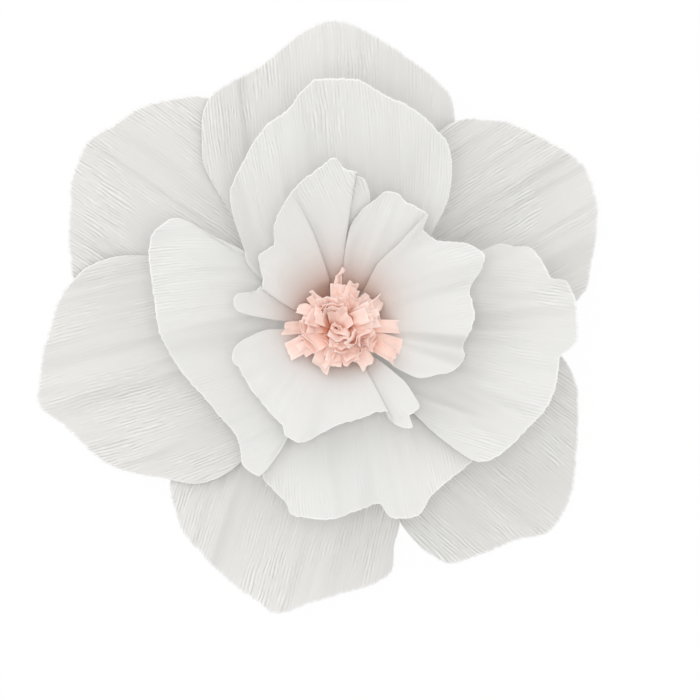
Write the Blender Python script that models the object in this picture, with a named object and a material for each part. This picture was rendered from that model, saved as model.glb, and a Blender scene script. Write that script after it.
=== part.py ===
"""Crepe paper flower lying on its back: petals gathered in three layers round a rolled fringe.

Metres, +Z up. The origin is the centre of the cut end of the stub, which stands on the table.
Each petal is one sheet: a cut tail, folds pressed together under the thread, and a blade.
Angles run anticlockwise from +X, seen from above. A petal's rim is a list of outline points,
each an angle and a share of its layer's reach.
"""

import math
import random
from collections import namedtuple

import bmesh
import bpy
from mathutils import Vector

# Paper
SHEET = 0.0005  # a petal's thickness over its crepe ridges
GATHER = 0.0008  # a layer's folds, pressed together under the thread
PLEAT = 0.0004  # how far a fold stands out to each side of the middle of its layer
CLEARANCE = 0.0003  # between pieces that lie against each other

# Stub and thread
TAIL_LENGTH = 0.022  # cut end to thread
TAIL_SPREAD = 0.0015  # how much further out each layer's cut end stands than the last
THREAD_DIAMETER = 0.0011
THREAD_TURNS = 4

# Rolled centre
ROLL_RADIUS = 0.006
ROLL_OVER_THREAD = 0.0206  # thread to the foot of the fringe cuts
ROLL_PITCH = 0.00065  # one turn of the strip to the next, creases included
TAB_WIDTH = 0.005
TAB_THICKNESS = 0.0003
TAB_LENGTH = 0.030  # outermost tabs
TAB_LENGTH_CENTRE = 0.017  # crumpled tabs in the middle
TAB_BEND = 0.007  # bend radius where a tab turns outwards
TAB_LEAN = 76.0  # degrees from upright, outermost tabs
TAB_ROOT = 0.0015  # length of a tab's foot inside the roll

# Petal layers. A layer's section is a curve from the thread to the tips: it leaves the thread
# upright for about RISE, passes under the point (SHOULDER_REACH, SHOULDER_HEIGHT) and ends at
# (REACH, TIP_HEIGHT). Heights count from the top of the thread, and in the inner layer, which is
# wrapped round the roll, from the foot of the fringe cuts.
INNER_REACH = 0.083
INNER_TIP_OVER_ROLL = 0.0334
INNER_RISE_OVER_ROLL = 0.0074
INNER_SHOULDER_REACH = 0.046
INNER_SHOULDER_OVER_ROLL = 0.0014
INNER_LAP = 0.002  # how far an edge is lifted over, or pressed under, its neighbour
INNER_CUP = 0.004  # how far an edge that nothing presses down turns up

MIDDLE_REACH = 0.123
MIDDLE_TIP_HEIGHT = 0.034
MIDDLE_RISE = 0.016
MIDDLE_SHOULDER_REACH = 0.062
MIDDLE_SHOULDER_HEIGHT = 0.006
MIDDLE_LAP = 0.0025
MIDDLE_CUP = 0.006

OUTER_REACH = 0.158
OUTER_TIP_HEIGHT = -0.014
OUTER_RISE = 0.009
OUTER_SHOULDER_REACH = 0.080
OUTER_SHOULDER_HEIGHT = -0.021
OUTER_LAP = 0.003
OUTER_CUP = 0.005

FAN_START = 0.014  # distance from the axis where edges begin to spread over their neighbours
FAN_END = 0.036
LIFT_END = 0.020  # distance from the axis where an edge has its full lift
FOLD_END = 0.045  # distance from the axis where the gathering has opened out

# Rows of points along a blade, as shares of its section from thread to rim
BLADE_ROWS = (0.1, 0.22, 0.4, 0.6, 0.8, 1.0)
COLUMN_SPACING = 0.013  # along the rim, between two outline points
THREAD_SIDES = 28
ROLL_SIDES = 28

WHITE_PAPER = (0.83, 0.83, 0.81, 1.0)
PINK_PAPER = (0.93, 0.62, 0.50, 1.0)
WHITE_THREAD = (0.86, 0.86, 0.84, 1.0)

TIE_TOP = TAIL_LENGTH + THREAD_TURNS * THREAD_DIAMETER
ROLL_HEIGHT = TIE_TOP + ROLL_OVER_THREAD

# creases: angle, half width in degrees, height at the tips (a valley is negative)
Layer = namedtuple("Layer", "order reach tip rise shoulder_reach shoulder lap cup creases")
# sector: where the foot starts and ends round the stub. laps: lift of the first and last edge,
# 1 over its neighbour, -1 pressed under it and 0 free.
Petal = namedtuple("Petal", "name layer sector laps rim")

INNER = Layer(
    0, INNER_REACH, ROLL_OVER_THREAD + INNER_TIP_OVER_ROLL, ROLL_OVER_THREAD + INNER_RISE_OVER_ROLL,
    INNER_SHOULDER_REACH, ROLL_OVER_THREAD + INNER_SHOULDER_OVER_ROLL, INNER_LAP, INNER_CUP,
    [(84, 7, 0.0025), (104, 8, -0.0030), (118, 8, 0.0020), (159, 7, -0.0030), (52, 8, 0.0015),
     (17, 9, -0.0030), (0, 7, 0.0020), (350, 7, -0.0025), (204, 9, 0.0020), (228, 9, -0.0025),
     (250, 9, 0.0020), (276, 9, -0.0020), (299, 6, -0.0025)],
)
MIDDLE = Layer(
    1, MIDDLE_REACH, MIDDLE_TIP_HEIGHT, MIDDLE_RISE, MIDDLE_SHOULDER_REACH, MIDDLE_SHOULDER_HEIGHT,
    MIDDLE_LAP, MIDDLE_CUP,
    [(60, 9, -0.0020), (92, 14, -0.0030), (122, 8, -0.0020), (150, 9, 0.0020), (186, 9, -0.0020),
     (222, 8, -0.0020), (262, 9, 0.0020), (283, 7, -0.0030), (304, 9, 0.0020), (330, 8, -0.0025),
     (352, 6, 0.0025), (3, 6, -0.0030), (22, 7, 0.0025)],
)
OUTER = Layer(
    2, OUTER_REACH, OUTER_TIP_HEIGHT, OUTER_RISE, OUTER_SHOULDER_REACH, OUTER_SHOULDER_HEIGHT, OUTER_LAP,
    OUTER_CUP,
    [(30, 12, -0.0030), (48, 8, 0.0020), (78, 9, 0.0020), (94, 9, -0.0025), (112, 9, 0.0020),
     (146, 12, -0.0030), (184, 10, 0.0025), (204, 10, -0.0025), (246, 12, -0.0030), (268, 9, 0.0020),
     (302, 10, 0.0020), (322, 12, -0.0030), (345, 10, 0.0025)],
)

PETALS = (
    Petal("inner_petal_top_left", INNER, (89, 179), (-1, 0), [
        (73, 0.55), (76.4, 0.77), (79.5, 0.86), (84, 0.91), (88, 0.94), (92, 1.00), (96.5, 0.95),
        (105, 0.88), (112, 0.82), (118, 0.77), (124, 0.71), (130, 0.63), (138, 0.635), (145, 0.57),
        (153, 0.51), (158, 0.55), (164.5, 0.66), (170, 0.64), (172.5, 0.59), (175, 0.36)]),
    Petal("inner_petal_top_right", INNER, (58, 89), (-1, 1), [
        (49, 0.60), (52, 0.85), (57, 0.85), (62, 0.84), (66, 0.86), (70, 0.85), (75, 0.77),
        (80, 0.69), (84.5, 0.56), (87, 0.36)]),
    Petal("inner_petal_right", INNER, (322, 418), (0, 1), [
        (323, 0.40), (326, 0.55), (333, 0.65), (337, 0.72), (346, 0.775), (351, 0.75), (361, 0.79),
        (366, 0.80), (374, 0.79), (377, 0.82), (382, 0.915), (386.5, 0.96), (392, 0.915),
        (398, 0.81), (403, 0.76), (408.5, 0.755), (411.5, 0.84), (414.5, 0.60), (419, 0.44)]),
    Petal("inner_petal_bottom", INNER, (181, 320), (0, 0), [
        (183, 0.44), (186.5, 0.54), (192, 0.645), (198, 0.67), (203, 0.65), (221, 0.65), (231, 0.665),
        (240, 0.685), (244, 0.73), (249.5, 0.735), (259, 0.66), (269.5, 0.60), (281, 0.565),
        (292, 0.555), (296, 0.57), (300.5, 0.69), (305.5, 0.74), (308, 0.675), (314, 0.685),
        (317, 0.60), (319.5, 0.50)]),
    Petal("middle_petal_top", MIDDLE, (38, 137), (0, 1), [
        (43, 0.46), (46, 0.56), (48.5, 0.645), (52, 0.73), (55, 0.79), (61, 0.87), (73, 0.935),
        (80.5, 0.955), (88, 1.00), (95, 1.00), (99, 0.955), (104, 0.89), (110, 0.865), (121, 0.77),
        (129.5, 0.705), (133, 0.645), (141, 0.505), (146, 0.46), (149.5, 0.36)]),
    Petal("middle_petal_left", MIDDLE, (137, 240), (-1, 1), [
        (139, 0.42), (142, 0.50), (144.5, 0.63), (146, 0.78), (154, 0.84), (158.5, 0.825), (168, 0.77),
        (174, 0.75), (182.5, 0.725), (197.5, 0.665), (211, 0.615), (224, 0.605), (229, 0.62),
        (237, 0.695), (241, 0.695), (244, 0.60), (246, 0.42)]),
    Petal("middle_petal_bottom", MIDDLE, (240, 315), (-1, -1), [
        (238, 0.45), (241, 0.63), (243, 0.685), (248, 0.72), (253, 0.75), (256, 0.79), (264, 0.79),
        (273.5, 0.755), (282, 0.735), (285, 0.81), (292, 0.83), (299, 0.78), (306, 0.77), (315, 0.77),
        (318, 0.62), (320, 0.45)]),
    Petal("middle_petal_right", MIDDLE, (315, 390), (1, 0), [
        (310, 0.45), (312, 0.62), (315, 0.77), (320, 0.825), (330, 0.855), (337, 0.885), (342.5, 0.90),
        (351, 0.895), (357, 0.955), (366, 0.95), (371, 0.93), (373, 0.87), (382, 0.84), (385, 0.76),
        (387.5, 0.71), (388.5, 0.50)]),
    Petal("outer_petal_top", OUTER, (61, 125), (-1, 1), [
        (52, 0.50), (55, 0.68), (60.5, 0.745), (65, 0.82), (77, 0.89), (84, 0.94), (91.5, 0.975),
        (98, 0.94), (107, 0.87), (119.5, 0.835), (124, 0.785), (130.5, 0.66), (134, 0.50)]),
    Petal("outer_petal_upper_left", OUTER, (125, 167), (-1, -1), [
        (112, 0.50), (115, 0.72), (119.5, 0.835), (126, 0.895), (132, 0.94), (139, 0.975), (144, 1.00),
        (150.5, 0.98), (155.5, 0.945), (165.5, 0.89), (171, 0.86), (176, 0.75), (179, 0.50)]),
    Petal("outer_petal_left", OUTER, (167, 228), (1, 1), [
        (157, 0.50), (160, 0.66), (167.5, 0.835), (174, 0.895), (181, 0.93), (187, 0.96), (194.5, 0.99),
        (199, 0.94), (209.5, 0.875), (216, 0.805), (222, 0.735), (227, 0.685), (231.5, 0.61),
        (235, 0.50)]),
    Petal("outer_petal_bottom_left", OUTER, (228, 287), (-1, 1), [
        (217, 0.50), (220, 0.68), (224, 0.75), (229, 0.80), (241, 0.865), (253, 0.915), (257, 0.935),
        (263, 0.895), (270, 0.85), (276.5, 0.83), (282, 0.795), (284, 0.72), (287, 0.65), (291, 0.50)]),
    Petal("outer_petal_bottom_right", OUTER, (287, 358), (-1, 1), [
        (283, 0.50), (287, 0.65), (289, 0.72), (292, 0.79), (295, 0.835), (300.5, 0.85), (309, 0.88),
        (316, 0.935), (321, 0.925), (331.5, 0.855), (341, 0.80), (349.5, 0.745), (354, 0.68),
        (358, 0.50)]),
    Petal("outer_petal_upper_right", OUTER, (358, 421), (-1, 1), [
        (354, 0.50), (359, 0.65), (365, 0.74), (369.5, 0.80), (379.5, 0.865), (386, 0.91), (392.5, 0.93),
        (401, 0.89), (409.5, 0.845), (413.5, 0.82), (419, 0.77), (423, 0.69), (427, 0.50)]),
)


def clear_scene():
    for item in list(bpy.data.objects):
        bpy.data.objects.remove(item, do_unlink=True)


def make_material(name, colour, roughness):
    material = bpy.data.materials.new(name)
    material.use_nodes = True
    shader = material.node_tree.nodes["Principled BSDF"]
    shader.inputs["Base Color"].default_value = colour
    shader.inputs["Roughness"].default_value = roughness
    shader.inputs["Metallic"].default_value = 0.0
    return material


def add_piece(name, vertices, faces, material):
    """A named object from points and faces, shaded smooth up to a crease of 50 degrees."""
    mesh = bpy.data.meshes.new(name)
    mesh.from_pydata(vertices, [], faces)
    mesh.materials.append(material)
    mesh.shade_smooth()
    mesh.set_sharp_from_angle(angle=math.radians(50))
    piece = bpy.data.objects.new(name, mesh)
    bpy.context.scene.collection.objects.link(piece)
    return piece


def ease(value, start, end):
    """Rises smoothly from 0 at start to 1 at end."""
    share = min(1.0, max(0.0, (value - start) / (end - start)))
    return share * share * (3.0 - 2.0 * share)


def polar(angle, radius, height):
    return Vector((radius * math.cos(angle), radius * math.sin(angle), height))


def gather_radius(order):
    """Middle of a layer's folds under the thread, counting layers outwards from the roll."""
    half = PLEAT + GATHER / 2
    return ROLL_RADIUS + CLEARANCE + half + order * (2 * half + CLEARANCE)


def section_point(layer, share):
    """Distance from the axis, height and tangent of a layer's section, 0 thread to 1 tips."""
    foot = gather_radius(layer.order)
    controls = (
        Vector((foot, TIE_TOP)),
        Vector((foot + SHEET, TIE_TOP + layer.rise)),
        Vector((layer.shoulder_reach, TIE_TOP + layer.shoulder)),
        Vector((layer.reach, TIE_TOP + layer.tip)),
    )
    rest = 1.0 - share
    weights = (rest**3, 3 * rest**2 * share, 3 * rest * share**2, share**3)
    place = sum((weight * control for weight, control in zip(weights, controls)), Vector((0.0, 0.0)))
    slopes = (3 * rest**2, 6 * rest * share, 3 * share**2)
    steps = [after - before for before, after in zip(controls, controls[1:])]
    tangent = sum((slope * step for slope, step in zip(slopes, steps)), Vector((0.0, 0.0)))
    return place.x, place.y, tangent.normalized()


def share_at(layer, radius):
    """How far along its section a layer has come at this distance from the axis."""
    low = 0.0
    high = 1.0
    for _ in range(40):
        middle = (low + high) / 2
        if section_point(layer, middle)[0] < radius:
            low = middle
        else:
            high = middle
    return high


def crease_height(layer, angle, radius):
    """Ridges and valleys that all petals of a layer share, so that edges lie on each other."""
    height = 0.0
    for centre, half_width, peak in layer.creases:
        away = abs((math.degrees(angle) - centre + 180.0) % 360.0 - 180.0) / half_width
        if away < 1.0:
            height += peak * (1.0 - away * away) ** 2
    return height * ease(radius, FAN_START, layer.reach)


def rim_columns(petal):
    """Outline points with others spaced evenly between them, as (angle, distance from the axis)."""
    corners = [(math.radians(angle), share * petal.layer.reach) for angle, share in petal.rim]
    columns = [corners[0]]
    for before, after in zip(corners, corners[1:]):
        span = (polar(*after, 0.0) - polar(*before, 0.0)).length
        pieces = max(1, round(span / COLUMN_SPACING))
        for step in range(1, pieces + 1):
            share = step / pieces
            columns.append(tuple(a + (b - a) * share for a, b in zip(before, after)))
    return columns


def edge_lift(petal, side, radius):
    """Lift of a petal across its width, with side -1 at its first edge and 1 at its last."""
    layer = petal.layer
    lap = petal.laps[0] if side < 0 else petal.laps[1]
    lifted = lap * layer.lap * ease(radius, gather_radius(layer.order), LIFT_END)
    if lap >= 0:
        lifted += layer.cup * ease(radius, FAN_START, layer.reach)
    return lifted * side * side


def add_petal(petal, material):
    layer = petal.layer
    foot = gather_radius(layer.order)
    columns = rim_columns(petal)
    first_angle = columns[0][0]
    width = columns[-1][0] - first_angle
    edge_gap = CLEARANCE / foot
    foot_start = math.radians(petal.sector[0]) + edge_gap
    foot_width = math.radians(petal.sector[1]) - edge_gap - foot_start
    inwards = Vector((-1.0, 0.0))
    front = []
    back = []
    for index, (rim_angle, rim_radius) in enumerate(columns):
        across = (rim_angle - first_angle) / width
        foot_angle = foot_start + foot_width * across
        fold = PLEAT if index % 2 else -PLEAT
        tail = [
            (foot + TAIL_SPREAD * (layer.order + 1), 0.0, inwards),
            (foot, TAIL_LENGTH, inwards),
            (foot, TIE_TOP, inwards),
        ]
        end = share_at(layer, rim_radius)
        blade = []
        for row in BLADE_ROWS:
            radius, height, tangent = section_point(layer, end * row)
            blade.append((radius, height, Vector((-tangent.y, tangent.x))))
        for row, (radius, height, normal) in enumerate(tail + blade):
            angle = foot_angle
            opened = 0.0
            raised = 0.0
            if row >= len(tail):
                angle += (rim_angle - foot_angle) * ease(radius, FAN_START, FAN_END)
                opened = ease(radius, foot, FOLD_END)
                raised = edge_lift(petal, 2 * across - 1, radius) + crease_height(layer, angle, radius)
            half = (GATHER + (SHEET - GATHER) * opened) / 2
            folded = fold * (1.0 - opened)
            for side, points in ((1, front), (-1, back)):
                offset = (folded + side * half) * normal
                points.append(polar(angle, radius + offset.x, height + raised + offset.y))
    return add_sheet(petal.name, front, back, len(columns), material)


def add_sheet(name, front, back, column_count, material):
    """Closes two equal grids of points, one column after another, into one thin solid."""
    row_count = len(front) // column_count
    size = len(front)

    def corner(column, row):
        return column * row_count + row

    border = [corner(0, row) for row in range(row_count)]
    border += [corner(column, row_count - 1) for column in range(1, column_count)]
    border += [corner(column_count - 1, row) for row in range(row_count - 2, -1, -1)]
    border += [corner(column, 0) for column in range(column_count - 2, 0, -1)]
    faces = []
    for column in range(column_count - 1):
        for row in range(row_count - 1):
            quad = (
                corner(column, row),
                corner(column, row + 1),
                corner(column + 1, row + 1),
                corner(column + 1, row),
            )
            faces.append(quad)
            faces.append(tuple(size + point for point in reversed(quad)))
    for here, after in zip(border, border[1:] + border[:1]):
        faces.append((after, here, size + here, size + after))
    return add_piece(name, front + back, faces, material)


def tab_path(root_radius, lean, length):
    """Points up a tab: its foot in the roll, an arc that turns it outwards, a straight end."""
    points = [(root_radius, ROLL_HEIGHT - TAB_ROOT)]
    arc_steps = 3
    for step in range(arc_steps + 1):
        turned = lean * step / arc_steps
        out = TAB_BEND * (1.0 - math.cos(turned))
        up = TAB_BEND * math.sin(turned)
        points.append((root_radius + out, ROLL_HEIGHT + up))
    straight = length - TAB_BEND * lean
    last_radius, last_height = points[-1]
    points.append((last_radius + straight * math.sin(lean), last_height + straight * math.cos(lean)))
    return points


def tab_solid(middle_angle, widest, path):
    """Vertices and faces of one tab, curved round the roll at its foot and flatter at its end."""
    vertices = []
    across = (-1, 0, 1)
    for index, (radius, height) in enumerate(path):
        before = Vector(path[max(0, index - 1)])
        after = Vector(path[min(len(path) - 1, index + 1)])
        tangent = (after - before).normalized()
        half_angle = min(widest, TAB_WIDTH / 2 / radius)
        for side in (1, -1):
            out = radius - side * tangent.y * TAB_THICKNESS / 2
            up = height + side * tangent.x * TAB_THICKNESS / 2
            for place in across:
                vertices.append(polar(middle_angle + place * half_angle, out, up))
    # each ring runs along the upper side and back along the lower one
    ring = (0, 1, 2, 5, 4, 3)
    faces = [(0, 1, 4, 3), (1, 2, 5, 4)]
    for level in range(len(path) - 1):
        for here, after in zip(ring, ring[1:] + ring[:1]):
            low = level * 6
            faces.append((low + here, low + 6 + here, low + 6 + after, low + after))
    top = (len(path) - 1) * 6
    faces.append((top + 3, top + 4, top + 1, top))
    faces.append((top + 4, top + 5, top + 2, top + 1))
    return vertices, faces


def add_fringe_roll(material):
    """A strip rolled up tight, its upper edge cut into tabs that open like a fountain."""
    randomiser = random.Random(7)
    vertices = []
    faces = []
    turn = 0
    root_radius = ROLL_RADIUS - ROLL_PITCH / 2
    while root_radius > ROLL_PITCH:
        outwards = root_radius / ROLL_RADIUS
        count = max(3, int(2 * math.pi * root_radius / TAB_WIDTH))
        widest = 0.88 * math.pi / count
        for index in range(count):
            middle_angle = (index + 0.5 + 0.37 * turn) * 2 * math.pi / count
            lean = math.radians(TAB_LEAN * outwards + randomiser.uniform(-2.0, 2.0))
            length = TAB_LENGTH_CENTRE + (TAB_LENGTH - TAB_LENGTH_CENTRE) * outwards
            length *= randomiser.uniform(0.93, 1.05)
            points, sides = tab_solid(middle_angle, widest, tab_path(root_radius, lean, length))
            faces += [tuple(len(vertices) + point for point in side) for side in sides]
            vertices += points
        root_radius -= ROLL_PITCH
        turn += 1
    tabs = add_piece("fringe_tabs", vertices, faces, material)
    tabs.hide_render = True
    tabs.display_type = "WIRE"

    build = bmesh.new()
    bmesh.ops.create_cone(
        build, cap_ends=True, segments=ROLL_SIDES, radius1=ROLL_RADIUS, radius2=ROLL_RADIUS, depth=ROLL_HEIGHT
    )
    bmesh.ops.translate(build, verts=build.verts, vec=(0.0, 0.0, ROLL_HEIGHT / 2))
    mesh = bpy.data.meshes.new("center_fringe_roll")
    build.to_mesh(mesh)
    build.free()
    mesh.materials.append(material)
    roll = bpy.data.objects.new("center_fringe_roll", mesh)
    bpy.context.scene.collection.objects.link(roll)
    union = roll.modifiers.new("tabs", "BOOLEAN")
    union.operation = "UNION"
    union.object = tabs
    return roll


def add_binding_thread(material):
    """Turns of thread pulled tight round the outer layer, as one ring with a bead for each turn."""
    inner = gather_radius(OUTER.order) + PLEAT + GATHER / 2 + CLEARANCE
    profile = [(inner, TAIL_LENGTH), (inner + THREAD_DIAMETER / 2, TAIL_LENGTH)]
    for turn in range(THREAD_TURNS):
        profile.append((inner + THREAD_DIAMETER, TAIL_LENGTH + (turn + 0.5) * THREAD_DIAMETER))
        profile.append((inner + THREAD_DIAMETER / 2, TAIL_LENGTH + (turn + 1) * THREAD_DIAMETER))
    profile.append((inner, TIE_TOP))
    count = len(profile)
    vertices = []
    faces = []
    for step in range(THREAD_SIDES):
        angle = 2 * math.pi * step / THREAD_SIDES
        vertices += [polar(angle, radius, height) for radius, height in profile]
        following = (step + 1) % THREAD_SIDES
        for here in range(count):
            after = (here + 1) % count
            faces.append(
                (step * count + here, following * count + here, following * count + after, step * count + after)
            )
    return add_piece("binding_thread", vertices, faces, material)


clear_scene()
white_crepe = make_material("white_crepe_paper", WHITE_PAPER, 0.9)
pink_crepe = make_material("pink_crepe_paper", PINK_PAPER, 0.9)
thread = make_material("white_thread", WHITE_THREAD, 0.7)
add_fringe_roll(pink_crepe)
for each_petal in PETALS:
    add_petal(each_petal, white_crepe)
add_binding_thread(thread)
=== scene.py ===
import math

import bpy
import numpy as np
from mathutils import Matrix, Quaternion, Vector


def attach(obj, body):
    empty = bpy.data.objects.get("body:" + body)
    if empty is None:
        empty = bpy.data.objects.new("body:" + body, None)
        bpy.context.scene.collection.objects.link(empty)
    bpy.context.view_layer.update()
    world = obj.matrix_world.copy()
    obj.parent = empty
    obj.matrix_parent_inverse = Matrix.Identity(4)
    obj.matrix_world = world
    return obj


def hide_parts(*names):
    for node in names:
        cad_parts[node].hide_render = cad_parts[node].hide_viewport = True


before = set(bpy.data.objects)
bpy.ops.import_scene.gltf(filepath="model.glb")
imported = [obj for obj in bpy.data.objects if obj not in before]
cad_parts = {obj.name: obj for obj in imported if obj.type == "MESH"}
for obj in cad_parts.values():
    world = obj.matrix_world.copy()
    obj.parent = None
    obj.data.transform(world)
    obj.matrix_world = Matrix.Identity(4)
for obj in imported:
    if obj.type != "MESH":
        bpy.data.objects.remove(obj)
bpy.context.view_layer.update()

# Rolled fringe in the middle of the flower.
# A long strip of pink crepe paper is cut into tabs along one edge, rolled up tight and fluffed.
# The turns are pressed together at the thread; above the roll the tabs open like a fountain.
ROLL_RADIUS = 0.0058
ROLL_CORE = 0.0008  # radius of the first turn
ROLL_TOP = 0.047  # foot of the cuts, above the cut end of the stub
TURN_PITCH = 0.0003
STRIP_THICKNESS = 0.00022
TAB_ROWS, TAB_COLUMNS = 15, 9  # points along and across one tab
TAB_BEND = 0.007  # bend radius where a tab turns outwards
TAB_ROOT = 0.002  # length of a tab's foot inside the roll
TAB_FLARE = 0.10  # share by which a tab widens towards its end
TAB_CURL = (-12.0, 16.0)  # least and most curl past a tab's bend, in radians for each metre
TAB_CRUMPLE = 0.0009  # depth of the dents that fluffing leaves
TAB_SLANT = 0.35  # slope of the most slanting cut at a tab's end
TAB_UNEVEN = 0.0003  # how far that cut strays from a straight line
TAB_EDGE_HIGHLIGHT = 0.35  # how strongly its cut edges are painted with a highlight
OUTERMOST_LEAN = 80.0  # in degrees, of the tabs that lie on the petals
OUTER_TURN_LEAN = 75.0  # a tab that leans this far comes from the outermost turn
BUNDLE_TURNS = 0.9  # share of the roll that the bundles come from
BUNDLE_SEED, BUNDLED_TAB_SEED, OUTERMOST_SEED = 41, 43, 47
# Tabs of neighbouring turns are crumpled together into bundles: heading in degrees, how many
# tabs, lean of the first in degrees and how much more each next one leans, length, width, how
# deep its waves are and how many, and its twist in degrees; a negative lean crosses the axis
BUNDLES = (
    (35, 2, -16, -9, 0.016, 0.0070, 0.0010, 1.2, 10),
    (215, 2, -12, -10, 0.015, 0.0065, 0.0009, 1.0, -15),
    (95, 3, 4, 8, 0.017, 0.0090, 0.0008, 1.6, 6),
    (268, 3, 2, 9, 0.017, 0.0095, 0.0010, 1.2, -8),
    (112, 4, 34, 8, 0.019, 0.0095, 0.0014, 0.5, -5),
    (80, 2, 26, 10, 0.019, 0.0060, 0.0004, 0.8, 20),
    (52, 2, 36, 12, 0.018, 0.0065, 0.0004, 0.7, 35),
    (28, 4, 28, 9, 0.020, 0.0075, 0.0006, 1.3, -10),
    (4, 4, 30, 9, 0.021, 0.0080, 0.0007, 1.1, 8),
    (-26, 5, 34, 8, 0.021, 0.0085, 0.0013, 0.9, 0),
    (-46, 4, 36, 9, 0.020, 0.0080, 0.0007, 1.2, 12),
    (-68, 3, 50, 9, 0.020, 0.0080, 0.0006, 1.0, -14),
    (272, 2, 24, 13, 0.018, 0.0060, 0.0012, 0.5, 18),
    (258, 3, 44, 9, 0.019, 0.0070, 0.0010, 1.1, 0),
    (238, 2, 36, 12, 0.018, 0.0080, 0.0005, 0.6, -12),
    (207, 2, 50, 9, 0.022, 0.0105, 0.0010, 0.5, 4),
    (180, 3, 44, 10, 0.021, 0.0070, 0.0007, 0.9, -10),
    (157, 4, 32, 8, 0.020, 0.0085, 0.0010, 0.5, 6),
    (136, 2, 55, 9, 0.022, 0.0060, 0.0004, 0.8, 40),
    (66, 2, 60, 8, 0.021, 0.0065, 0.0005, 0.8, -12),
)
# Outermost tabs as they lie: heading in degrees, reach from the axis, twist in degrees, width
OUTERMOST_TABS = (
    (1, 0.0315, -12, 0.0060), (25, 0.0270, 28, 0.0066), (50, 0.0215, -20, 0.0055),
    (69, 0.0240, 30, 0.0058), (84, 0.0290, 76, 0.0050), (94, 0.0210, -10, 0.0075),
    (125, 0.0225, 62, 0.0060), (148, 0.0240, 48, 0.0056), (184, 0.0285, -14, 0.0060),
    (205, 0.0280, 10, 0.0085), (216, 0.0240, -16, 0.0070), (241, 0.0255, 16, 0.0090),
    (259, 0.0235, -78, 0.0045), (292, 0.0220, 36, 0.0066), (309, 0.0258, -18, 0.0078),
    (330, 0.0350, 14, 0.0066), (342, 0.0315, -10, 0.0070),
)


def linear(hex_colour):
    """An sRGB hex colour as linear red, green, blue and full alpha."""
    values = [int(hex_colour[i : i + 2], 16) / 255 for i in (1, 3, 5)]
    return [v / 12.92 if v <= 0.04045 else ((v + 0.055) / 1.055) ** 2.4 for v in values] + [1.0]


def add_node(tree, kind, inputs=None, **settings):
    """Adds a node with its settings and links.

    An input is a value, another node's output, or another node, whose first output is linked.
    """
    node = tree.nodes.new(kind)
    for name, value in settings.items():
        setattr(node, name, value)
    for key, value in (inputs or {}).items():
        if isinstance(value, bpy.types.Node):
            value = value.outputs[0]
        if isinstance(value, bpy.types.NodeSocket):
            tree.links.new(value, node.inputs[key])
        else:
            node.inputs[key].default_value = value
    return node


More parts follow.
